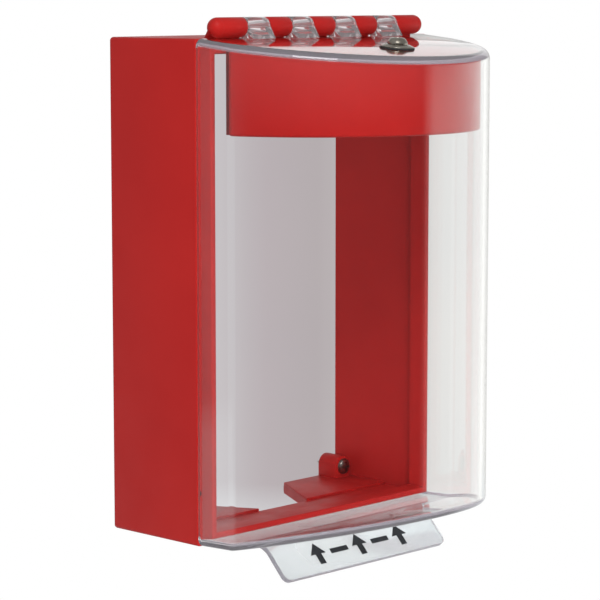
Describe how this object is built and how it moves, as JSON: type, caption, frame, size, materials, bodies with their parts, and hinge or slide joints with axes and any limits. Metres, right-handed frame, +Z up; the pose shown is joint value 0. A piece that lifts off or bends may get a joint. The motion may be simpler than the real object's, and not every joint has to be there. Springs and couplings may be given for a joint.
{
  "type": "protective cover for a manual call point",
  "caption": "Red surface frame with a hinged clear domed cover, a sounder inside the dome and a lift tab, made to go over a manual call point.",
  "frame": {"origin": "centre of the wall face, midway between the four wall screws", "axes": "+X to the right, -Y out from the wall towards the room, +Z up"},
  "size_m": [0.19, 0.175, 0.3104],
  "materials": {
    "red_plastic": "fine-grained satin moulding",
    "dark_red_plastic": "satin moulding",
    "clear_plastic": "clear polished moulding",
    "screw_metal": "dark plated",
    "clamp_metal": "turned and plated",
    "magnet_metal": "nickel plated",
    "insert_brass": "turned",
    "black_rubber": "matt",
    "black_print": "printed",
    "black_plastic": "moulded",
    "green_board": "lacquered board",
    "battery_case": "printed sleeve"
  },
  "bodies": {
    "frame": {"back_frame": "red_plastic", "hinge_pin": "dark_red_plastic", "wall_screw_1": "screw_metal", "wall_screw_2": "screw_metal", "wall_screw_3": "screw_metal", "wall_screw_4": "screw_metal", "stop_pad_1": "black_rubber", "stop_pad_2": "black_rubber", "frame_magnet": "magnet_metal"},
    "cover": {"cover_shell": "clear_plastic", "lift_mark": "black_print", "sounder_housing": "red_plastic", "sounder_lid": "dark_red_plastic", "lid_screw_1": "screw_metal", "lid_screw_2": "screw_metal", "circuit_board": "green_board", "piezo_horn": "black_plastic", "lift_switch": "black_plastic", "battery": "battery_case", "battery_clip": "black_plastic", "clamp_screw": "clamp_metal", "clamp_washer": "clamp_metal", "seal_washer": "black_rubber", "clamp_insert": "insert_brass"},
    "battery_door": {"battery_door": "dark_red_plastic"}
  },
  "joints": [
    {"name": "cover_hinge", "type": "hinge", "parent": "frame", "child": "cover", "pos_m": [0, -0.0714, 0.1458], "axis": [-1, 0, 0], "range_deg": [0, 105]},
    {"name": "battery_door_slide", "type": "slide", "parent": "cover", "child": "battery_door", "axis": [-1, 0, 0], "range_m": [0, 0.04]}
  ]
}
